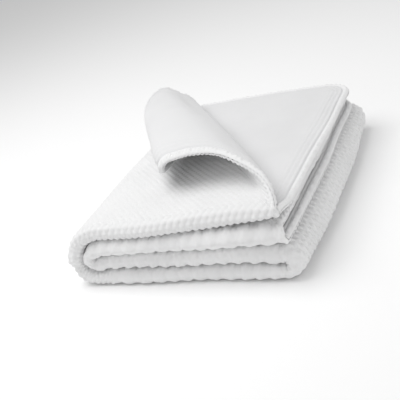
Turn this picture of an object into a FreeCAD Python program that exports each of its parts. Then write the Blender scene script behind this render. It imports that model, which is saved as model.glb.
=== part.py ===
import FreeCAD, Part
import math
import os

# Folded memory foam mattress pad, in millimetres, +Z up.
# The flat pad is folded in half at the front, then three times across its length.
# That gives four layers of two plies. The origin is under the centre of the stack.

doc = FreeCAD.newDocument("folded_pad")
os.makedirs("parts", exist_ok=True)

sheet = doc.addObject("Spreadsheet::Sheet", "Dims")
DIMENSIONS = [
    ("run_length", 420.0),       # flat stretch of the two lower layers, along X
    ("top_length", 438.0),       # flat stretch of the two upper layers, which end free
    ("ply_depth", 600.0),        # fold to free edge, along Y
    ("ply_pitch", 19.3),         # height taken by one ply of the stack
    ("layer_clear", 0.4),        # space kept above and below each layer
    ("knit_skin", 1.0),          # waffle knit cover
    ("cloth_skin", 0.8),         # smooth reverse cloth, one thickness
    ("edge_width", 3.0),         # turned seam allowance on the free edges
    ("edge_inset", 3.0),         # how far the seam edge stands in from the ply faces
    ("wedge_gap", 0.3),          # half of the space at each hinge line
    ("lower_cloth", 0.6),        # reverse cloth on the lower ply of the top layer
    ("wrap_inner", 45.0),        # corner radius inside the big left-hand fold
    ("wrap_outer", 76.7),        # corner radius outside it, just short of four plies
    ("curl_step", 38.0),         # width of each strip up the side of the turned corner
    ("curl_run", 70.0),          # width of the strip over the top of the turned corner
    ("curl_down", 44.0),         # width of the strip that slopes down
    ("curl_under", 32.0),        # width of the strip that turns under
    ("curl_tip", 96.0),          # width of the tip tucked inside
    ("curl_back", 8.0),          # where the turn line meets the back edge, from the big fold
]
for row, (name, value) in enumerate(DIMENSIONS, start=1):
    sheet.set("A%d" % row, name)
    sheet.set("B%d" % row, str(value))
    sheet.setAlias("B%d" % row, name)
doc.recompute()
SIZE = dict(DIMENSIONS)

LENGTH = SIZE["run_length"]
TOP_LENGTH = SIZE["top_length"]
DEPTH = SIZE["ply_depth"]
PITCH = SIZE["ply_pitch"]
CLEAR = SIZE["layer_clear"]
KNIT = SIZE["knit_skin"]
CLOTH = SIZE["cloth_skin"]
EDGE = SIZE["edge_width"]
GAP = SIZE["wedge_gap"]
PLIES = 8
LAYER = 2.0 * PITCH
HEIGHT = PLIES * PITCH - CLEAR           # top of the stack before its clearance
AXIS_Z = HEIGHT - 4.0 * PITCH            # height of the big fold's axis
LEFT_REACH = SIZE["wrap_outer"] * math.cos(math.radians(30.0))
RIGHT_REACH = LAYER - CLEAR + GAP
SPAN = LENGTH + LEFT_REACH + RIGHT_REACH
LEFT = -SPAN / 2.0 + LEFT_REACH          # X where the flat stretch begins
RIGHT = LEFT + LENGTH                    # X where the lower layers turn up
TOP_RIGHT = LEFT + TOP_LENGTH            # X of the free edges of the upper layers
NOSE = PITCH - CLEAR
FRONT = -(DEPTH + EDGE - NOSE) / 2.0     # Y of the centre of the front fold
OVER = 1.0                               # how far a cutting block runs past what it cuts
X_AXIS = FreeCAD.Vector(1, 0, 0)
Y_AXIS = FreeCAD.Vector(0, 1, 0)
Z_AXIS = FreeCAD.Vector(0, 0, 1)
NODES = []


def spot(x, y, z, axis=Z_AXIS, angle=0.0):
    return FreeCAD.Placement(FreeCAD.Vector(x, y, z), FreeCAD.Rotation(axis, angle))


def primitive(kind, name, placement, **sizes):
    """A Part primitive whose sizes are spreadsheet expressions or plain numbers."""
    obj = doc.addObject("Part::" + kind, name)
    for key, value in sizes.items():
        if isinstance(value, str):
            obj.setExpression(key, value)
        else:
            setattr(obj, key, value)
    obj.Placement = placement
    return obj


def cut(name, base, tool):
    obj = doc.addObject("Part::Cut", name)
    obj.Base = base
    obj.Tool = tool
    return obj


def fuse(name, shapes):
    obj = doc.addObject("Part::MultiFuse", name)
    obj.Shapes = shapes
    obj.Refine = True
    return obj


def common(name, first, second):
    obj = doc.addObject("Part::MultiCommon", name)
    obj.Shapes = [first, second]
    return obj


def keep(obj, label):
    obj.Label = label
    NODES.append(obj)


def nosed_slab(name, middle, inset, length):
    """A slab with a half-round front, its faces inset from the layer's own faces."""
    half = "Dims.ply_pitch - Dims.layer_clear - %s" % inset
    slab = primitive(
        "Box", name + "_slab",
        spot(LEFT, FRONT, middle),
        Length=length, Width="Dims.ply_depth", Height="2 * (%s)" % half,
    )
    slab.setExpression("Placement.Base.z", "%f - (%s)" % (middle, half))
    nose = primitive(
        "Cylinder", name + "_nose",
        spot(LEFT, FRONT, middle, Y_AXIS, 90.0),
        Radius=half, Height=length,
    )
    return fuse(name, [slab, nose])


def reverse_sheet(name, middle, length):
    """The two thicknesses of reverse cloth that face each other inside a fold."""
    return primitive(
        "Box", name,
        spot(LEFT, FRONT, middle - CLOTH),
        Length=length, Width="Dims.ply_depth", Height="2 * Dims.cloth_skin",
    )


def length_of(number):
    """The dimension that sets the flat stretch of a layer, counted from the top."""
    return "Dims.top_length" if number <= 2 else "Dims.run_length"


def layer(number, middle):
    """Foam, knit and reverse cloth of one full layer of two plies."""
    tag = "layer%d" % number
    length = length_of(number)
    outside = nosed_slab(tag + "_outside", middle, "0", length)
    inside = nosed_slab(tag + "_inside", middle, "Dims.knit_skin", length)
    keep(cut(tag + "_knit_cut", outside, inside), "knit_" + tag)
    core = nosed_slab(tag + "_core", middle, "Dims.knit_skin", length)
    slit = reverse_sheet(tag + "_slit", middle, length)
    keep(cut(tag + "_foam_cut", core, slit), "foam_" + tag)
    keep(reverse_sheet(tag + "_cloth", middle, length), "cloth_" + tag)


def half_round(name, x, middle, radius, start_angle, front):
    """Half of a cylinder along Y, flat on the YZ plane through its axis."""
    lift = FreeCAD.Rotation(X_AXIS, -90.0)
    turn = FreeCAD.Rotation(Z_AXIS, start_angle)
    obj = primitive(
        "Cylinder", name,
        FreeCAD.Placement(FreeCAD.Vector(x, front, middle), lift.multiply(turn)),
        Radius=radius, Angle=180.0,
    )
    obj.setExpression("Height", "Dims.ply_depth + %f" % (FRONT - front))
    return obj


def side_fold(tag, x, middle, start_angle):
    """A small fold that joins two layers: knit outside, foam, and cloth between its plies."""
    full = "2 * Dims.ply_pitch - Dims.layer_clear"
    skinned = full + " - Dims.knit_skin"
    mid_out = "Dims.ply_pitch + Dims.cloth_skin"
    mid_in = "Dims.ply_pitch - Dims.cloth_skin"
    nose_front = FRONT - NOSE + CLEAR
    outside = half_round(tag + "_outside", x, middle, full, start_angle, nose_front)
    inside = half_round(tag + "_inside", x, middle, skinned, start_angle, nose_front)
    keep(cut(tag + "_knit_cut", outside, inside), "knit_" + tag)
    ring = cut(
        tag + "_ring",
        half_round(tag + "_slit_out", x, middle, mid_out, start_angle, FRONT),
        half_round(tag + "_slit_in", x, middle, mid_in, start_angle, FRONT),
    )
    core = half_round(tag + "_core", x, middle, skinned, start_angle, nose_front)
    keep(cut(tag + "_foam_cut", core, ring), "foam_" + tag)
    cloth = cut(
        tag + "_cloth_cut",
        half_round(tag + "_cloth_out", x, middle, mid_out, start_angle, FRONT),
        half_round(tag + "_cloth_in", x, middle, mid_in, start_angle, FRONT),
    )
    keep(cloth, "cloth_" + tag)


def wrap_wedge(name, number, inner, outer, front):
    """One flat-faced third of the big left-hand fold, counted from the bottom."""
    low = "(%s) * sin(30 deg) - Dims.wedge_gap" % inner
    high = "(%s) * sin(30 deg) - Dims.wedge_gap" % outer
    heading = FreeCAD.Rotation(Y_AXIS, 60.0 * number - 30.0)
    wedge = doc.addObject("Part::Wedge", name)
    # local X runs outward from the fold axis, local Z along the chord, local Y along the pad
    wedge.setExpression("Xmin", "-(%s)" % low)
    wedge.setExpression("Xmax", low)
    wedge.setExpression("X2min", "-(%s)" % high)
    wedge.setExpression("X2max", high)
    wedge.Zmin = 0.0
    wedge.setExpression("Zmax", "Dims.ply_depth + %f" % (FRONT - front))
    wedge.Z2min = 0.0
    wedge.setExpression("Z2max", "Dims.ply_depth + %f" % (FRONT - front))
    wedge.setExpression("Ymin", "(%s) * cos(30 deg)" % inner)
    wedge.setExpression("Ymax", "(%s) * cos(30 deg)" % outer)
    # turn local Z to world +Y and local Y to the outward direction of this wedge
    stand = FreeCAD.Rotation(X_AXIS, -90.0)
    wedge.Placement = FreeCAD.Placement(
        FreeCAD.Vector(LEFT, front, AXIS_Z), heading.multiply(stand)
    )
    return wedge


def big_fold(number):
    """Foam, knit and cloth of one wedge of the left-hand fold."""
    tag = "wrap%d" % number
    inner = "Dims.wrap_inner"
    outer = "Dims.wrap_outer"
    middle = "(%s + %s) / 2" % (inner, outer)
    front = FRONT - NOSE + CLEAR
    skin = "Dims.knit_skin"
    outside = wrap_wedge(tag + "_outside", number, inner, outer, front)
    inside = wrap_wedge(
        tag + "_inside", number, inner, "%s - %s" % (outer, skin), front,
    )
    keep(cut(tag + "_knit_cut", outside, inside), "knit_" + tag)
    core = wrap_wedge(tag + "_core", number, inner, "%s - %s" % (outer, skin), front)
    low = "%s - Dims.cloth_skin" % middle
    high = "%s + Dims.cloth_skin" % middle
    keep(cut(tag + "_foam_cut", core, wrap_wedge(tag + "_slit", number, low, high, FRONT)),
         "foam_" + tag)
    keep(wrap_wedge(tag + "_cloth", number, low, high, FRONT), "cloth_" + tag)


# The turn line of the corner runs from the front right end of the pad to its back edge.
TURN_X = SIZE["curl_back"] - TOP_LENGTH
TURN_LENGTH = math.hypot(TURN_X, DEPTH)
TURN_ANGLE = math.degrees(math.atan2(DEPTH, TURN_X)) - 90.0
CORNER_N = -TURN_X * DEPTH / TURN_LENGTH
CORNER_A = DEPTH * DEPTH / TURN_LENGTH
# Each strip of the corner: the dimension that gives its width, and how far it turns, in degrees.
STRIPS = [
    ("curl_step", 80.0),
    ("curl_step", 50.0),
    ("curl_step", 25.0),
    ("curl_run", 17.0),
    ("curl_down", 53.0),
    ("curl_under", 50.0),
    ("curl_tip", 85.0),
]
TOP_MIDDLE = HEIGHT - PITCH
PLY_LOW = TOP_MIDDLE + CLOTH / 2.0
PLY_THICK = PITCH - CLEAR - CLOTH / 2.0


def turn_frame():
    """Placement with X across the turn line, Y along it, at the underside of the top ply."""
    return spot(TOP_RIGHT, FRONT, PLY_LOW, Z_AXIS, TURN_ANGLE)


def strip_frame(index):
    """Where strip number index stands when the corner is turned back."""
    frame = turn_frame()
    for number, (width_name, turn) in enumerate(STRIPS[: index + 1]):
        frame = frame.multiply(spot(0, 0, 0, Y_AXIS, -turn))
        if number < index:
            frame = frame.multiply(spot(SIZE[width_name], 0, 0))
    return frame


def strip_slab(name, index, low, high):
    """One strip of the corner between two heights, with mitred long sides."""
    width_name, turn = STRIPS[index]
    last = index == len(STRIPS) - 1
    next_turn = 0.0 if last else STRIPS[index + 1][1]
    slope = math.tan(math.radians(turn / 2.0))
    next_slope = math.tan(math.radians(next_turn / 2.0))
    slab = doc.addObject("Part::Wedge", name)
    # local X across the strip, local Y up through the ply, local Z against the turn line
    for key, height in (("X", low), ("X2", high)):
        slab.setExpression(key + "min", "Dims.wedge_gap + %f" % (height * slope))
        slab.setExpression(
            key + "max",
            "Dims.%s - Dims.wedge_gap - %f" % (width_name, height * next_slope),
        )
    slab.Ymin = low
    slab.Ymax = high
    for key in ("Z", "Z2"):
        setattr(slab, key + "min", -TURN_LENGTH)
        setattr(slab, key + "max", 0.0)
    slab.Placement = FreeCAD.Placement(FreeCAD.Vector(), FreeCAD.Rotation(X_AXIS, 90.0))
    return slab


def strip_trim(name, index):
    """What lies outside the ply's right and back edges, to be cut from a strip."""
    start = sum(SIZE[width_name] for width_name, _ in STRIPS[:index])
    reach = 2.0 * TURN_LENGTH
    right = primitive(
        "Box", name + "_right",
        spot(-start, 0, -reach / 2.0, Z_AXIS, -TURN_ANGLE),
        Length=reach, Width=reach, Height=reach,
    )
    right.Placement = right.Placement.multiply(spot(0, -reach / 2.0, 0))
    corner = FreeCAD.Vector(CORNER_N - start, CORNER_A, -reach / 2.0)
    back = primitive(
        "Box", name + "_back",
        FreeCAD.Placement(corner, FreeCAD.Rotation(Z_AXIS, -TURN_ANGLE)),
        Length=reach, Width=reach, Height=reach,
    )
    back.Placement = back.Placement.multiply(spot(-reach / 2.0, 0, 0))
    return fuse(name, [right, back])


def corner_strip(index):
    """Cloth, foam and knit of one strip of the turned corner."""
    tag = "corner%d" % (index + 1)
    levels = [
        ("cloth", 0.0, CLOTH / 2.0),
        ("foam", CLOTH / 2.0, PLY_THICK - KNIT),
        ("knit", PLY_THICK - KNIT, PLY_THICK),
    ]
    for material, low, high in levels:
        name = "%s_%s" % (tag, material)
        slab = strip_slab(name + "_slab", index, low, high)
        piece = cut(name + "_cut", slab, strip_trim(name + "_trim", index))
        piece.Placement = strip_frame(index)
        keep(piece, "%s_%s" % (material, tag))


def turned_region(name):
    """Everything right of the turn line and above the lower ply, with the first mitre."""
    reach = 4.0 * DEPTH
    frame = turn_frame()
    level = primitive("Box", name + "_level", frame.multiply(spot(-GAP, -reach / 2, -CLOTH)),
                      Length=reach, Width=reach, Height=LAYER)
    leaning = frame.multiply(spot(-GAP, -reach / 2.0, -CLOTH))
    leaning = leaning.multiply(spot(0, 0, 0, Y_AXIS, -STRIPS[0][1] / 2.0))
    mitre = primitive("Box", name + "_mitre", leaning,
                      Length=LAYER, Width=reach, Height=2.0 * LAYER)
    return fuse(name, [level, mitre])


def top_layer():
    """The top layer: a full lower ply with the front fold, and an upper ply cut at the turn."""
    tag = "layer1"
    length = length_of(1)
    outside = nosed_slab(tag + "_outside", TOP_MIDDLE, "0", length)
    hollow = nosed_slab(tag + "_hollow", TOP_MIDDLE, "Dims.knit_skin", length)
    knit = cut(tag + "_knit_shell", outside, hollow)
    keep(cut(tag + "_knit_cut", knit, turned_region(tag + "_knit_turn")), "knit_" + tag)
    # each half of the foam is what is left when the other half's space is cut away
    halves = [("lower", TOP_MIDDLE - CLOTH / 2.0), ("upper", PLY_LOW - LAYER)]
    for half, low in halves:
        name = "%s_%s" % (tag, half)
        core = nosed_slab(name + "_core", TOP_MIDDLE, "Dims.knit_skin", length)
        other = primitive(
            "Box", name + "_other", spot(LEFT - OVER, FRONT - LAYER, low),
            Length=TOP_LENGTH + 2.0 * OVER, Width=DEPTH + 2.0 * LAYER, Height=LAYER,
        )
        ply = cut(name + "_ply", core, other)
        if half == "upper":
            ply = cut(name + "_cut", ply, turned_region(name + "_turn"))
        keep(ply, "foam_" + name)
    keep(
        primitive("Box", tag + "_cloth", spot(LEFT, FRONT, TOP_MIDDLE - CLOTH / 2.0),
                  Length=length, Width="Dims.ply_depth", Height="Dims.lower_cloth"),
        "cloth_" + tag,
    )


def free_edges():
    """Seam edges on the free sides: all plies at the back, and layers 1 and 2 at the right."""
    height = "Dims.ply_pitch - 2 * Dims.edge_inset"
    # each ply with a free right edge, and the height of its underside
    ply_edges = [("layer1_lower", HEIGHT - 2.0 * PITCH),
                 ("layer2_upper", HEIGHT - 3.0 * PITCH),
                 ("layer2_lower", HEIGHT - 4.0 * PITCH)]
    for label, underside in ply_edges:
        keep(
            primitive("Box", label + "_side",
                      spot(TOP_RIGHT, FRONT, underside + SIZE["edge_inset"]),
                      Length="Dims.edge_width", Width="Dims.ply_depth", Height=height),
            "edge_right_" + label,
        )
    for number in range(1, PLIES // 2 + 1):
        underside = HEIGHT - number * LAYER
        # only the lower ply of the top layer reaches the back edge whole
        plies = 1 if number == 1 else 2
        keep(
            primitive("Box", "back%d" % number,
                      spot(LEFT, FRONT + DEPTH, underside + SIZE["edge_inset"]),
                      Length=length_of(number), Width="Dims.edge_width",
                      Height="%d * Dims.ply_pitch - 2 * Dims.edge_inset" % plies),
            "edge_back_layer%d" % number,
        )


top_layer()
for layer_number in (2, 3, 4):
    layer(layer_number, HEIGHT - (2 * layer_number - 1) * PITCH)
side_fold("right_fold", RIGHT + GAP, AXIS_Z - LAYER, -90.0)
side_fold("inner_fold", LEFT - GAP, AXIS_Z, 90.0)
for wedge_number in (1, 2, 3):
    big_fold(wedge_number)
for strip_number in range(len(STRIPS)):
    corner_strip(strip_number)
free_edges()
doc.recompute()

for obj in doc.Objects:
    if "Invalid" in obj.State or "Error" in obj.State:
        raise RuntimeError("%s is %s" % (obj.Label, obj.State))
for obj in NODES:
    if obj.Shape.isNull() or not obj.Shape.isValid():
        raise RuntimeError("%s has no valid shape" % obj.Label)
    obj.Shape.exportStep("parts/%s.step" % obj.Label)
    box = obj.Shape.BoundBox
    print("%-22s solids %d  vol %10.0f  x %7.1f %7.1f  y %7.1f %7.1f  z %6.1f %6.1f" % (
        obj.Label, len(obj.Shape.Solids), obj.Shape.Volume,
        box.XMin, box.XMax, box.YMin, box.YMax, box.ZMin, box.ZMax))
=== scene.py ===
import bpy
import math
import numpy as np
from mathutils import Matrix, Vector


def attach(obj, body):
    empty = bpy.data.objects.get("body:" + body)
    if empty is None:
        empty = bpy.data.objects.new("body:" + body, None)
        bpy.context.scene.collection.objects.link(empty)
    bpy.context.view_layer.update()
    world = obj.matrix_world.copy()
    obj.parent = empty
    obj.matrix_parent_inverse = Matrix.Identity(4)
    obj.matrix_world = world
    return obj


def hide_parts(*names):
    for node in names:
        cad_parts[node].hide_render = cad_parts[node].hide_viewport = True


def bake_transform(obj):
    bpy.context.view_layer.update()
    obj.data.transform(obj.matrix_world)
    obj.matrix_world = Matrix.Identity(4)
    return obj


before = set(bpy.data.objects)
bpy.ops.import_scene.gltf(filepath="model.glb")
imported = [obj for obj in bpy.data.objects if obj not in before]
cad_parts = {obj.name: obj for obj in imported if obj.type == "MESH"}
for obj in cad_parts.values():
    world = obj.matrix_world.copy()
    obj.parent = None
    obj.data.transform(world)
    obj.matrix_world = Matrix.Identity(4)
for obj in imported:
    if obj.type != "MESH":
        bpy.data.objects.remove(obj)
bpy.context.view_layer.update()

# ---- sizes of the folded pad, in metres, in the CAD frame
RUN, TOP_RUN, DEPTH, PITCH = 0.420, 0.438, 0.600, 0.0193
CLEAR, EDGE = 0.0004, 0.003
BIG_CORNER = 4 * PITCH - 0.0005
LEFT_REACH = BIG_CORNER * math.cos(math.radians(30))
RIGHT_REACH = 2 * PITCH - CLEAR + 0.0003
LEFT = LEFT_REACH - (RUN + LEFT_REACH + RIGHT_REACH) / 2
RIGHT, TOP_RIGHT = LEFT + RUN, LEFT + TOP_RUN
FRONT = -(DEPTH + EDGE - (PITCH - CLEAR)) / 2
TOP = 8 * PITCH - CLEAR
AXIS_Z = TOP - 4 * PITCH
BIG_R, SMALL_R = 3 * PITCH, PITCH
HALF = 0.0091                       # half of a ply's thickness
NOSE_R = PITCH / 2
NOSE_ARC = math.pi * NOSE_R
PLY_LOW = AXIS_Z + BIG_R + NOSE_R - HALF    # smooth side of the uppermost ply
FLOOR_GAP = 0.0004                  # how far the underside may press down

# path lengths along the band, from the free right end of the top layer
U1 = TOP_RUN
U2 = U1 + math.pi * BIG_R
U3 = U2 + RUN
U4 = U3 + math.pi * SMALL_R
U5 = U4 + RUN
U6 = U5 + math.pi * SMALL_R
U7 = U6 + TOP_RUN
V_END = NOSE_ARC / 2 + DEPTH + 0.002

# ---- the cover's surface
ROUND = 0.062                       # plan radius of the pad's corners
RIM = 0.0095                        # how far in the rounded edge reaches
BAND = 0.0125                       # width of the knit that wraps on to the reverse
THIN_EDGE, THIN_FROM, THIN_OVER = 0.68, 0.008, 0.034
CELL_X, CELL_Y, WAFFLE = 0.0150, 0.0150, 0.0013
NOSE_REACH, NOSE_FADE = 0.034, 0.02
SCALLOP_PITCH, SCALLOP = 0.033, 0.0015
NOSE_ROW = 0.0008                   # rows of dots on the top layer's front fold
FOLD_PITCH, FOLD_WAVE = 0.030, 0.0011
CREASE_PITCH, CREASE_AT, CREASE_WIDTH, CREASE = 0.017, 0.017, 0.010, 0.0022
GATHER_PITCH = 0.0105               # stitches gather the cloth along the seam
GATHER_AT, GATHER = 0.004, 0.0016
SEAM_WIDTH, SEAM = 0.0014, 0.0030
KNOT_AT, KNOT_WIDTH, KNOT, KNOT_PITCH = 0.0058, 0.0034, 0.0026, 0.031
PULL_AT, PULL_WIDTH, PULL, PULL_PITCH = 0.030, 0.012, 0.0011, 0.0090

# ---- turned corner: a line across the top ply, and strips that roll up from it
TURN_X = 0.008 - TOP_RUN
TURN_L = math.hypot(TURN_X, DEPTH)
ALONG = np.array([TURN_X / TURN_L, DEPTH / TURN_L])
ACROSS = np.array([ALONG[1], -ALONG[0]])
TURN_START = -0.020                 # the ply starts to rise this far before the line
STRIPS = [0.038, 0.038, 0.038, 0.070, 0.044, 0.032, 0.096]
HINGE_S = np.concatenate([[0], np.cumsum(STRIPS)[:-1]])
# the curl's heading in degrees at path lengths from the turn line
HEAD_S = [-0.020, 0.019, 0.057, 0.095, 0.130, 0.186, 0.222, 0.244, 0.276, 0.310]
HEAD_A = [0, 80, 130, 155, 168, 176, 262, 278, 356, 360]
# how the loop leans at its back end and at its front end, against the plain curl
LEAN_S = [0, 0.030, 0.062, 0.100, 0.122, 0.152, 0.183, 0.213, 0.250, 0.330]
BACK_N = [0, -0.009, -0.027, -0.028, -0.027, -0.022, -0.010, 0.002, 0.006, 0.006]
BACK_Z = [0, 0.002, 0.008, 0.032, 0.035, 0.034, 0.026, 0.014, 0.008, 0.000]
FRONT_N = [0, 0, -0.004, -0.008, -0.012, -0.020, -0.032, -0.042, -0.045, -0.045]
FRONT_Z = [0, 0.005, 0.008, 0.006, 0.002, -0.004, -0.010, -0.013, -0.014, -0.012]
FRONT_A = [0, 0, 0, -0.005, -0.014, -0.036, -0.078, -0.136, -0.182, -0.200]
# half-length of each bend's blend, and how far it sits before the hinge line
TURN_REACH = [0.0050, 0.0062, 0.0120, 0.0120, 0.0110, 0.0055, 0.0045]
TURN_BACK = [0.0020, 0, 0, 0, 0, 0, -0.0022]

# ---- grid steps
STEP = 0.0025
PLAIN = 0.0030
FINE = 0.0012
NOSE_STEP = 0.0018
ENDS = 0.022                        # fine rows along the free edges
NOSE_END = NOSE_ARC / 2 + 0.010


# ---- small helpers
def smooth(t):
    """A soft step from 0 to 1."""
    t = np.clip(t, 0, 1)
    return t * t * (3 - 2 * t)


def bump(x, middle, width):
    """A soft ridge of height 1."""
    return np.exp(-((x - middle) / width) ** 2)


def wave(a, b, *terms):
    """A smooth, repeatable unevenness built from a few sines."""
    out = np.zeros(np.broadcast(a, b).shape)
    for fa, fb, phase, amount in terms:
        out = out + amount * np.sin(fa * a + fb * b + phase)
    return out


def eased(s, stops, values, reach=0.012):
    """Reads a table with its corners rounded off."""
    return sum(np.interp(s + reach * k / 4, stops, values) for k in range(-4, 5)) / 9


# ---- the folded band and the curl
def band(u):
    """Centre line of the folded band in X and Z, and its normal towards the upper ply."""
    x, z, a = np.zeros_like(u), np.zeros_like(u), np.zeros_like(u)
    s = u <= U1
    x[s], z[s], a[s] = TOP_RIGHT - u[s], AXIS_Z + BIG_R, math.pi / 2
    s = (u > U1) & (u <= U2)
    t = (u[s] - U1) / BIG_R + math.pi / 2
    x[s], z[s], a[s] = LEFT + BIG_R * np.cos(t), AXIS_Z + BIG_R * np.sin(t), t
    s = (u > U2) & (u <= U3)
    x[s], z[s], a[s] = LEFT + u[s] - U2, AXIS_Z - BIG_R, -math.pi / 2
    s = (u > U3) & (u <= U4)
    t = (u[s] - U3) / SMALL_R - math.pi / 2
    x[s], z[s] = RIGHT + SMALL_R * np.cos(t), AXIS_Z - 2 * PITCH + SMALL_R * np.sin(t)
    a[s] = t
    s = (u > U4) & (u <= U5)
    x[s], z[s], a[s] = RIGHT - (u[s] - U4), AXIS_Z - PITCH, math.pi / 2
    s = (u > U5) & (u <= U6)
    t = -math.pi / 2 - (u[s] - U5) / SMALL_R
    x[s], z[s], a[s] = LEFT + SMALL_R * np.cos(t), AXIS_Z + SMALL_R * np.sin(t), t + math.pi
    s = u > U6
    x[s], z[s], a[s] = LEFT + u[s] - U6, AXIS_Z + PITCH, -math.pi / 2
    return x, z, np.cos(a), np.sin(a)


def curl_curve():
    """The plain curl of the smooth side: path lengths, headings, and across and up."""
    s = np.linspace(TURN_START, 0.38, 2001)
    h = np.radians(sum(np.interp(s + 0.002 * k, HEAD_S, HEAD_A) for k in range(-2, 3)) / 5)
    ds = s[1] - s[0]
    middle = (h[1:] + h[:-1]) / 2
    across = np.concatenate([[0], np.cumsum(np.cos(middle) * ds)]) + TURN_START
    up = np.concatenate([[0], np.cumsum(np.sin(middle) * ds)])
    return s, h, across, up


CURL_S, CURL_H, CURL_N, CURL_Z = curl_curve()


def curl_point(s, a, height, inner=1.0):
    """Across and up of the curl, for a path length s and a place a along the turn line."""
    h = np.interp(s, CURL_S, CURL_H)
    t = np.clip(a / TURN_L, 0, 1)
    lean_n = t * eased(s, LEAN_S, BACK_N) + (1 - t) * eased(s, LEAN_S, FRONT_N)
    lean_z = t * eased(s, LEAN_S, BACK_Z) + (1 - t) * eased(s, LEAN_S, FRONT_Z)
    # inside the loop the knit side stays where the unrolled ply needs it
    sunk = np.clip(lean_n * np.sin(h) - lean_z * np.cos(h), 0, 0.034)
    sunk = sunk * smooth((s - 0.060) / 0.030) * smooth((0.180 - s) / 0.030)
    height = height + sunk * inner * np.clip((height - 0.004) / 0.012, 0, 1)
    cn = np.interp(s, CURL_S, CURL_N) - height * np.sin(h) + lean_n
    cz = np.interp(s, CURL_S, CURL_Z) + height * np.cos(h) + lean_z
    return cn, cz


def turn_point(n, a):
    """X and Y of a point n across and a along the turn line."""
    return TOP_RIGHT + n * ACROSS[0] + a * ALONG[0], FRONT + n * ACROSS[1] + a * ALONG[1]


def curled(x, y, height, inner):
    """Moves points of the top ply round the curl. height is above the ply's smooth side."""
    px, py = x - TOP_RIGHT, y - FRONT
    n = px * ACROSS[0] + py * ACROSS[1]
    a = px * ALONG[0] + py * ALONG[1]
    cn, cz = curl_point(np.maximum(n, TURN_START), a, height, inner)
    forward = (1 - np.clip(a / TURN_L, 0, 1)) * np.interp(n, LEAN_S, FRONT_A)
    cx, cy = turn_point(np.where(n < TURN_START, n, cn), a + forward)
    return cx, cy, np.where(n < TURN_START, height, cz), n


# ---- the cover's relief
def edge_distance(u, v):
    """Rounded plan: moved u and v, the distance to the rounded edge and to the square one."""
    du, dv = np.minimum(u, U7 - u), V_END - np.abs(v)
    p, q = np.clip(1 - du / ROUND, 0, 1), np.clip(1 - dv / ROUND, 0, 1)
    p2, q2 = p * np.sqrt(1 - q * q / 2), q * np.sqrt(1 - p * p / 2)
    shift_u, shift_v = (p - p2) * ROUND, (q - q2) * ROUND
    u2 = np.where(u < U7 / 2, u + shift_u, u - shift_u)
    v2 = np.where(v > 0, v - shift_v, v + shift_v)
    return u2, v2, ROUND * (1 - np.sqrt(p2 ** 2 + q2 ** 2)), np.minimum(du, dv)


def stitch_gather(along):
    """The regular gathers that the seam's stitches pull, along the edge."""
    return np.cos(2 * math.pi * along / GATHER_PITCH + 1.4 * np.sin(61 * along))


def knit_relief(u, v, d, gather):
    """Waffle, scallops and creases of the knit side."""
    across, down = u / CELL_X, v / CELL_Y
    pillow = np.abs(np.cos(math.pi * (across + down)) * np.cos(math.pi * (across - down))) ** 0.6
    on_fold = smooth((u - U3 + 0.02) / 0.03) * smooth((U4 + 0.02 - u) / 0.03)
    on_nose = smooth((NOSE_REACH - np.abs(v)) / NOSE_FADE)
    lower = smooth((u - U2) / 0.05)
    size = WAFFLE * (1 + 1.1 * on_fold - 0.5 * on_nose * lower + 0.25 * on_nose * (1 - lower))
    w = size * (1.7 * pillow - 1.35) * smooth(d / 0.006)
    scallop = np.cos(2 * math.pi * u / SCALLOP_PITCH + 1.3 * np.sin(14 * u) + 0.8 * np.sin(31 * u))
    w = w + SCALLOP * on_nose * lower * scallop * (1 - on_fold)
    w = w + NOSE_ROW * on_nose * (1 - lower) * np.cos(4 * math.pi * down)
    w = w + FOLD_WAVE * on_fold * np.cos(2 * math.pi * v / FOLD_PITCH + 1.1 * np.sin(17 * v))
    uneven = 1.6 * np.sin(19 * u) + np.sin(47 * u)
    crease = np.abs(np.sin(math.pi * u / CREASE_PITCH + uneven)) ** 8
    flank = bump(np.abs(v), CREASE_AT, CREASE_WIDTH) * (0.4 + 0.6 * np.sin(8 * u) ** 2)
    w = w - CREASE * crease * flank * smooth((u - U2) / 0.02)
    return w + GATHER * bump(d, GATHER_AT, GATHER_AT) * (0.5 + 0.8 * gather)


def reverse_relief(u, v, d, gather, along):
    """Seam line, puffy edge and pull lines of the smooth side."""
    knots = 0.6 + 0.42 * gather + 0.3 * np.cos(2 * math.pi * along / KNOT_PITCH)
    pull = bump(d, PULL_AT, PULL_WIDTH) * np.cos(2 * math.pi * d / PULL_PITCH)
    w = SEAM * bump(d, BAND + SEAM_WIDTH, SEAM_WIDTH)
    w = w - KNOT * bump(d, KNOT_AT, KNOT_WIDTH) * knots - PULL * pull
    return w - wave(u, v, (140, 9, 0.4, 0.00012), (60, -33, 1.7, 0.0002))


def relief(u, v, d, side):
    """Height of the surface above the middle of the ply, on the knit or the reverse side."""
    t = np.clip(d / RIM, 0, 1)
    w = side * HALF * np.sqrt(np.clip(1 - (1 - t) ** 2, 0, 1))
    w = w * (1 + wave(u, v, (31, 17, 1.0, 0.02), (-19, 43, 2.2, 0.02)))
    w = w * (THIN_EDGE + (1 - THIN_EDGE) * smooth((d - THIN_FROM) / THIN_OVER))
    along = np.where(V_END - np.abs(v) < np.minimum(u, U7 - u), u, v)
    gather = stitch_gather(along)
    if side > 0:
        return w + knit_relief(u, v, d, gather)
    return w + reverse_relief(u, v, d, gather, along)


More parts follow.
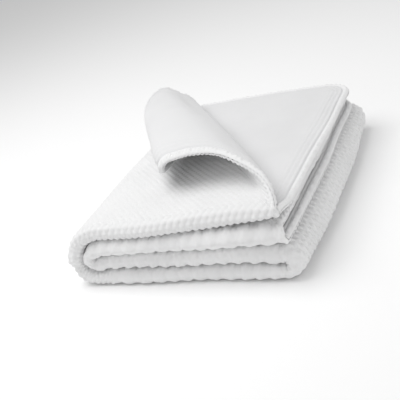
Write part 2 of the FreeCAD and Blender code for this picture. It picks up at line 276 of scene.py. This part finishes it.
# ---- how the real stack sits
def slump_up(x, y, up, z):
    """Rise or fall: the big fold sags, the stack leans left, and the front bands differ."""
    left = smooth((LEFT + 0.045 - x) / 0.105)
    front = smooth((0.16 - y) / 0.36)
    across = np.clip((x - LEFT) / TOP_RUN, 0, 1.1)
    # the big fold sags most at half height
    dz = -left * np.interp(up, [0, 0.25, 0.55, 0.8, 1.4], [0, 0.010, 0.023, 0.020, 0.014])
    dz = dz - 0.011 * up * smooth(1 - across * 1.15)
    # a thin bottom layer, a fuller second layer, and the top one lifted at the right
    layers = [0, 2, 4, 6, 8, 12]
    bands = np.interp(z / PITCH, layers, [0, -0.0045, 0.0000, 0.0070, 0.0075, 0.0075])
    dz = dz + bands * front * (0.55 + 0.75 * across) * (1 - 0.8 * left)
    return dz + up * wave(x, y, (11, 4, 0.6, 0.0020), (-7, 13, 2.0, 0.0014))


def slump_back(x, y, z):
    """Forward or back: each layer's front fold stands a little in or out."""
    layers = [0, 1, 2.6, 3.4, 5, 6.5, 9]
    step = np.interp(z / PITCH, layers, [0.002, 0.001, 0.007, 0.006, -0.008, -0.001, -0.001])
    dy = step * smooth((-0.20 - y) / 0.08)
    dy = dy + wave(x, z, (10, 38, 0, 0.0022), (27, -61, 1.0, 0.0016))
    return dy * smooth((0.32 - y) / 0.2)


def slump_side(x, y, up, z):
    """Left or right: the big fold comes in, and the right fold bows out."""
    left = smooth((LEFT + 0.045 - x) / 0.105)
    dx = 0.013 * left * np.interp(up, [0, 0.3, 1.4], [1.3, 0.9, 0.9])
    dx = dx + wave(y, z, (9, 35, 0.5, 0.0020), (24, -50, 0, 0.0012))
    bow = np.sin(math.pi * np.clip((y + 0.30) / 0.60, 0, 1))
    return dx + 0.008 * bow * smooth((x - RIGHT + 0.05) / 0.06)


def slump(x, y, z):
    """Moves points of the straight stack to where the sagging stack has them."""
    up = np.clip(z / TOP, 0, 1.4)
    return x + slump_side(x, y, up, z), y + slump_back(x, y, z), z + slump_up(x, y, up, z)


def place(u, v, side):
    """World position of the pad's surface. side is 1 on the knit, -1 on the reverse."""
    u, v, d, square_d = edge_distance(u, v)
    d = np.where(d < ROUND * 0.999, d, np.maximum(square_d, ROUND))
    w = relief(u, v, d, side)
    f = np.clip(v / NOSE_R, -math.pi / 2, math.pi / 2)
    tail = np.maximum(np.abs(v) - NOSE_ARC / 2, 0)
    r = NOSE_R + w
    Y = FRONT - r * np.cos(f) + tail
    m = r * np.sin(f)
    x, z, nx, nz = band(u)
    X, Z = x + m * nx, z + m * nz
    # the upper ply of layer 2 ends a little short of the lower one
    X = X - 0.011 * smooth((u - U7 + 0.12) / 0.12) * smooth(-v / 0.03)
    # the top layer's lower ply lifts off layer 2 at its front right end
    lift = smooth((0.17 - u) / 0.16) * smooth((0.06 - tail) / 0.06)
    Z = Z + 0.0100 * lift * np.clip(-np.sin(f), 0, 1)
    cx, cy, cz, n = curled(X, Y, Z - PLY_LOW, smooth((d - 0.012) / 0.030))
    go = (u <= U1 + 1e-9) & (v > 0) & (n > TURN_START)
    go = np.where(go, smooth(v / (NOSE_ARC / 2)), 0)
    X, Y, Z = X + go * (cx - X), Y + go * (cy - Y), Z + go * (cz + PLY_LOW - Z)
    X, Y, Z = slump(X, Y, Z)
    # the underside lies flat on the floor
    return X, Y, np.maximum(Z, -FLOOR_GAP)


# ---- one fine grid over the whole pad, shared by its knit side and its reverse
def stations(stops):
    """Grid lines through the stops, each stretch cut into equal steps near the wanted one."""
    out = [stops[0][0]]
    for (a, _), (b, step) in zip(stops[:-1], stops[1:]):
        count = max(1, int(round((b - a) / step)))
        out.extend(a + (b - a) * np.arange(1, count + 1) / count)
    return np.array(out)


def u_stations():
    """Grid lines along the band, fine at its two free ends."""
    return stations([(0, 0), (RIM, FINE * 0.8), (ENDS, FINE), (U7 - ENDS, STEP),
                     (U7 - RIM, FINE), (U7, FINE * 0.8)])


def half_stations(step):
    """Grid lines from the middle of the front fold to the back edge."""
    return stations([(0, 0), (NOSE_END, NOSE_STEP), (V_END - ENDS, step),
                     (V_END - RIM, FINE), (V_END, FINE * 0.8)])


U_LINE = u_stations()
# the upper ply of the top layer shows its waffle; the lower plies' waffle is hidden
V_LINE = np.concatenate([-half_stations(PLAIN)[:0:-1], half_stations(STEP)])
U, V = np.meshgrid(U_LINE, V_LINE, indexing="ij")
NU, NV = U.shape
UC, VC = (U[1:, 1:] + U[:-1, :-1]) / 2, (V[1:, 1:] + V[:-1, :-1]) / 2
# distance of each cell from the turn line, measured on the flat ply
FLAT_N = -UC * ACROSS[0] + (np.maximum(np.abs(VC) - NOSE_ARC / 2, 0)) * ACROSS[1]


# ---- which piece each cell of the grid belongs to
def on_curl(s, share):
    """A point of the loop's smooth side, at a share of the way along its strip."""
    first = s * ACROSS[0] / ACROSS[1]
    last = TURN_L - s * ACROSS[1] / ACROSS[0]
    a = first + (last - first) * share
    cn, cz = curl_point(s, a, 0)
    x, y = turn_point(cn, a)
    return Vector([float(c) for c in slump(x, y, cz + PLY_LOW)])


def turn_blend(k):
    """Middle of one bend's blend on the loop, and the way it runs."""
    s = HINGE_S[k]
    ruling = (on_curl(s, 1.0) - on_curl(s, 0.0)).normalized()
    tangent = on_curl(s + 0.006, 0.5) - on_curl(s - 0.006, 0.5)
    way = (tangent - ruling * tangent.dot(ruling)).normalized()
    return on_curl(s, 0.5) - way * TURN_BACK[k], way


TURN_BLENDS = [turn_blend(k) for k in range(len(STRIPS))]
# the big fold's pieces reach a little way on to the flat layers
CUT_A, CUT_B = U1 - 0.030, U2 + 0.030
THIRD = math.pi * BIG_R / 3
SPANS = [("pad_top", 0, CUT_A), ("pad_fold_high", CUT_A, U1 + THIRD / 2),
         ("pad_fold_upper_side", U1 + THIRD / 2, U1 + 1.5 * THIRD),
         ("pad_fold_lower_side", U1 + 1.5 * THIRD, U1 + 2.5 * THIRD),
         ("pad_fold_low", U1 + 2.5 * THIRD, CUT_B), ("pad_layer4", CUT_B, U3),
         ("pad_right_fold", U3, U4), ("pad_layer3", U4, U5), ("pad_inner_fold", U5, U6),
         ("pad_layer2", U6, U7 + 1)]


def band_labels():
    """The piece of each cell along the band, leaving out the turned corner."""
    label = np.full(UC.shape, "", dtype=object)
    for name, a, b in SPANS:
        label[(UC >= a) & (UC < b)] = name
    return label


def with_corner(P, label):
    """The labels of one side, with the turned corner cut where neither blend is at work."""
    centre = (P[1:, 1:] + P[:-1, :-1] + P[1:, :-1] + P[:-1, 1:]) / 4
    along = [(centre - np.array(p)) @ np.array(way) / reach
             for (p, way), reach in zip(TURN_BLENDS, TURN_REACH)]
    out = label.copy()
    upper = (VC > -NOSE_ARC / 2) & (UC < CUT_A)
    for k in range(len(STRIPS)):
        if k == 0:
            near = (FLAT_N > -0.055) & (along[0] > -1.1)
        else:
            near = (FLAT_N > HINGE_S[k - 1]) & (along[k - 1] + along[k] > 0)
        out[upper & (near | (FLAT_N >= HINGE_S[k]))] = "pad_corner%d" % (k + 1)
    return out


# ---- the two surfaces of the pad
def grid_normals(P):
    """Smooth normals of a grid of points."""
    n = np.cross(np.gradient(P, axis=0), np.gradient(P, axis=1))
    return n / np.maximum(np.linalg.norm(n, axis=2, keepdims=True), 1e-12)


def surface(side, label):
    """Points, outward normals, whether faces are turned over, and labels of one side."""
    P, other = (np.stack(place(U, V, s), -1) for s in (side, -side))
    N = grid_normals(P)
    i, j = NU // 2, NV * 3 // 4
    flip = (N[i, j] @ (P[i, j] - other[i, j])) < 0
    return P, -N if flip else N, flip, with_corner(P, label)


LABEL = band_labels()
SIDES = [surface(1, LABEL), surface(-1, LABEL)]

# the knit wraps on to the reverse as far as the seam
WRAPPED = edge_distance(UC, VC)[2] < BAND
INDEX = np.arange(NU * NV).reshape(NU, NV)
CORNERS = [INDEX[:-1, :-1], INDEX[1:, :-1], INDEX[1:, 1:], INDEX[:-1, 1:]]
END_ROWS = int(np.argmax(U_LINE >= ENDS))
HIDDEN_REVERSE = {"pad_fold_high", "pad_fold_upper_side", "pad_fold_lower_side", "pad_fold_low",
                  "pad_layer4", "pad_right_fold", "pad_layer3", "pad_inner_fold", "pad_layer2"}


def thinned(mask, axis, size):
    """Grid lines kept on a hidden reverse side: every third, and all of them near a free edge."""
    used = np.nonzero(mask.any(axis=1 - axis))[0]
    lo, hi = used[0], used[-1] + 1
    keep = [k for k in range(lo, hi + 1)
            if (k - lo) % 3 == 0 or k == hi or k <= END_ROWS or k >= size - 1 - END_ROWS]
    return np.array(keep)


def coarse_quads(mask):
    """Larger cells over the same patch, for a reverse side that is hidden between plies."""
    grid = INDEX[np.ix_(thinned(mask, 0, NU), thinned(mask, 1, NV))]
    return np.stack([grid[:-1, :-1], grid[1:, :-1], grid[1:, 1:], grid[:-1, 1:]], -1)


def side_quads(k, name):
    """The faces of one piece on one side, and which material each has."""
    mask = SIDES[k][3] == name
    if k == 1 and name in HIDDEN_REVERSE:
        cells = coarse_quads(mask)
        edge = edge_distance(U.ravel()[cells].mean(-1), V.ravel()[cells].mean(-1))[2]
        return cells.reshape(-1, 4), np.where((edge < BAND).ravel(), 0, 1)
    return np.stack([c[mask] for c in CORNERS], 1), np.where(WRAPPED[mask], 0, k)


def fill_mesh(mesh, verts, normals, faces, kinds, uvs):
    """Writes vertices, faces, UVs and shared normals into a new mesh."""
    mesh.vertices.add(len(verts))
    mesh.vertices.foreach_set("co", verts.astype(np.float32).ravel())
    mesh.loops.add(len(faces) * 4)
    mesh.loops.foreach_set("vertex_index", faces.astype(np.int32).ravel())
    mesh.polygons.add(len(faces))
    mesh.polygons.foreach_set("loop_start", np.arange(len(faces), dtype=np.int32) * 4)
    mesh.polygons.foreach_set("material_index", kinds.astype(np.int32))
    mesh.polygons.foreach_set("use_smooth", np.ones(len(faces), dtype=bool))
    layer = mesh.uv_layers.new(name="Pad")
    layer.data.foreach_set("uv", uvs[faces.ravel()].astype(np.float32).ravel())
    for mat in MATS:
        mesh.materials.append(mat)
    mesh.update()
    mesh.validate()
    mesh.normals_split_custom_set_from_vertices(normals.astype(np.float32))


def build(name):
    """The knit and reverse cells of one label as a mesh with smooth, shared normals."""
    verts, normals, faces, kinds, uvs = [], [], [], [], []
    offset = 0
    for k, (P, N, flip, _) in enumerate(SIDES):
        quads, kind = side_quads(k, name)
        if flip:
            quads = quads[:, ::-1]
        used, inverse = np.unique(quads, return_inverse=True)
        faces.append(inverse.reshape(-1, 4) + offset)
        verts.append(P.reshape(-1, 3)[used])
        normals.append(N.reshape(-1, 3)[used])
        uvs.append(np.stack([U.ravel()[used], V.ravel()[used]], 1))
        kinds.append(kind)
        offset += len(used)
    mesh = bpy.data.meshes.new(name)
    fill_mesh(mesh, *(np.concatenate(part) for part in (verts, normals, faces, kinds, uvs)))
    obj = bpy.data.objects.new(name, mesh)
    bpy.context.scene.collection.objects.link(obj)
    return obj


# ---- materials
def noise_node(nt, kind, scale, detail, vector):
    """A noise or wave texture that reads one kind of coordinate."""
    node = nt.nodes.new(kind)
    node.inputs["Scale"].default_value = scale
    node.inputs["Detail"].default_value = detail
    nt.links.new(vector, node.inputs["Vector"])
    return node


def cloth_material(name, color, rough, sheen, fuzz_scale, depth, yarn_scale):
    """Matte cloth with a faint mottle, a fine yarn and some fuzz."""
    mat = bpy.data.materials.new(name)
    mat.use_nodes = True
    nt = mat.node_tree
    bsdf = nt.nodes["Principled BSDF"]
    bsdf.inputs["Roughness"].default_value = rough
    bsdf.inputs["Sheen Weight"].default_value = sheen
    bsdf.inputs["Specular IOR Level"].default_value = 0.2
    coord = nt.nodes.new("ShaderNodeTexCoord")
    mottle = noise_node(nt, "ShaderNodeTexNoise", 9.0, 4.0, coord.outputs["Object"])
    ramp = nt.nodes.new("ShaderNodeValToRGB")
    low, high = ramp.color_ramp.elements
    low.color = (*[c * 0.965 for c in color], 1)
    high.color = (*color, 1)
    low.position = 0.3
    high.position = 0.65
    nt.links.new(mottle.outputs["Fac"], ramp.inputs["Fac"])
    nt.links.new(ramp.outputs["Color"], bsdf.inputs["Base Color"])
    yarn = noise_node(nt, "ShaderNodeTexWave", yarn_scale, 2.0, coord.outputs["UV"])
    yarn.inputs["Distortion"].default_value = 1.5
    fuzz = noise_node(nt, "ShaderNodeTexNoise", fuzz_scale, 6.0, coord.outputs["UV"])
    add = nt.nodes.new("ShaderNodeMath")
    add.operation = "ADD"
    nt.links.new(yarn.outputs["Fac"], add.inputs[0])
    nt.links.new(fuzz.outputs["Fac"], add.inputs[1])
    relief_node = nt.nodes.new("ShaderNodeBump")
    relief_node.inputs["Strength"].default_value = 0.35
    relief_node.inputs["Distance"].default_value = depth
    nt.links.new(add.outputs["Value"], relief_node.inputs["Height"])
    nt.links.new(relief_node.outputs["Normal"], bsdf.inputs["Normal"])
    return mat


def floor_material():
    """Plain pale floor."""
    mat = bpy.data.materials.new("floor")
    mat.use_nodes = True
    bsdf = mat.node_tree.nodes["Principled BSDF"]
    bsdf.inputs["Base Color"].default_value = (0.97, 0.97, 0.97, 1)
    bsdf.inputs["Roughness"].default_value = 1.0
    bsdf.inputs["Specular IOR Level"].default_value = 0.0
    return mat


MATS = [cloth_material("waffle_knit", (0.86, 0.86, 0.862), 0.9, 0.15, 420.0, 0.0010, 150.0),
        cloth_material("reverse_cloth", (0.775, 0.775, 0.78), 0.8, 0.25, 300.0, 0.0004, 260.0)]


# ---- the pieces that ride on one body
def trio(name):
    """The foam, knit and cloth nodes of one stretch of the pad."""
    return ["%s_%s" % (kind, name) for kind in ("foam", "knit", "cloth")]


RIDES = {
    "pad_top": ("top", ["foam_layer1_lower", "foam_layer1_upper", "knit_layer1", "cloth_layer1",
                        "edge_right_layer1_lower", "edge_back_layer1"]),
    "pad_layer4": ("base", trio("layer4") + ["edge_back_layer4"]),
    "pad_layer3": ("base", trio("layer3") + ["edge_back_layer3"]),
    "pad_layer2": ("base", trio("layer2") + ["edge_back_layer2", "edge_right_layer2_upper",
                                             "edge_right_layer2_lower"]),
    "pad_right_fold": ("base", trio("right_fold")),
    "pad_inner_fold": ("base", trio("inner_fold")),
}
for name, (body, nodes) in RIDES.items():
    obj = build(name)
    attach(obj, body)
    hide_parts(*nodes)

# ---- the big fold, built as four pieces
FOLDS = [("pad_fold_high", "top", "wrap_high", 90, "wrap3"),
         ("pad_fold_upper_side", "wrap_high", "wrap_side", 150, "wrap2"),
         ("pad_fold_lower_side", "wrap_side", "wrap_low", 210, "wrap1"),
         ("pad_fold_low", "wrap_low", "base", 270, None)]


def on_fold_side(angle):
    """A point of the big fold's middle surface as it sits, at the middle of the pad's depth."""
    t = math.radians(angle)
    x, y, z = slump(LEFT + BIG_R * math.cos(t), 0.0, AXIS_Z + BIG_R * math.sin(t))
    return Vector((float(x), 0, float(z)))


for name, a, b, angle, nodes in FOLDS:
    obj = build(name)
    p = on_fold_side(angle)
    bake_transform(obj)
    if nodes:
        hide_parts(*trio(nodes))

# ---- the turned corner, built as seven pieces
for k, (p, way) in enumerate(TURN_BLENDS):
    obj = build("pad_corner%d" % (k + 1))
    a = "top" if k == 0 else "corner%d" % k
    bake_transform(obj)
    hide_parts(*trio("corner%d" % (k + 1)))

# ---- floor, light, camera
FLOOR_HALF, FLOOR_Z = 30, -0.0006
floor_mesh = bpy.data.meshes.new("floor")
floor_mesh.from_pydata([(-FLOOR_HALF, -FLOOR_HALF, 0), (FLOOR_HALF, -FLOOR_HALF, 0),
                        (FLOOR_HALF, FLOOR_HALF, 0), (-FLOOR_HALF, FLOOR_HALF, 0)],
                       [], [(0, 1, 2, 3)])
floor_mesh.materials.append(floor_material())
floor = bpy.data.objects.new("floor", floor_mesh)
floor.location.z = FLOOR_Z
bpy.context.scene.collection.objects.link(floor)

world = bpy.data.worlds.new("studio")
world.use_nodes = True
world.node_tree.nodes["Background"].inputs["Color"].default_value = (1, 1, 1, 1)
world.node_tree.nodes["Background"].inputs["Strength"].default_value = 0.52
bpy.context.scene.world = world


def area(name, place_at, size, power):
    """A square soft light that points at the middle of the pad."""
    light = bpy.data.lights.new(name, "AREA")
    light.size, light.energy = size, power
    obj = bpy.data.objects.new(name, light)
    obj.location = place_at
    toward = Vector((0, 0, 0.1)) - Vector(place_at)
    obj.rotation_euler = toward.to_track_quat("-Z", "Y").to_euler()
    bpy.context.scene.collection.objects.link(obj)


area("key", (-0.75, -0.35, 2.35), 1.9, 38)
area("fill", (-1.5, -2.5, 0.9), 1.6, 3)
area("side", (2.6, -0.2, 0.9), 1.8, 9)

AZ, EL, ROLL, DIST = math.radians(30.9), math.radians(26.5), math.radians(-19.4), 1.698
FOCAL_WIDTHS, AIM_RIGHT, AIM_UP = 1.88075, -0.0560, -0.0550   # focal length over sensor width
AIM = Vector((0, 0, 0.07))
SENSOR = 36.0


def photo_camera():
    """The camera at the photograph's angle, rolled and aimed off the pad's middle."""
    back = Vector((math.sin(AZ) * math.cos(EL), -math.cos(AZ) * math.cos(EL), math.sin(EL)))
    level = Vector((math.cos(AZ), math.sin(AZ), 0))
    up = back.cross(level)
    right = level * math.cos(ROLL) + up * math.sin(ROLL)
    top = up * math.cos(ROLL) - level * math.sin(ROLL)
    data = bpy.data.cameras.new("camera")
    data.sensor_width = SENSOR
    data.lens = FOCAL_WIDTHS * SENSOR
    camera = bpy.data.objects.new("camera", data)
    basis = Matrix((right, top, back)).transposed().to_4x4()
    at = AIM + right * AIM_RIGHT + top * AIM_UP + back * DIST
    camera.matrix_world = Matrix.Translation(at) @ basis
    bpy.context.scene.collection.objects.link(camera)
    return camera


bpy.context.scene.camera = photo_camera()
bpy.context.scene.view_settings.view_transform = "Standard"
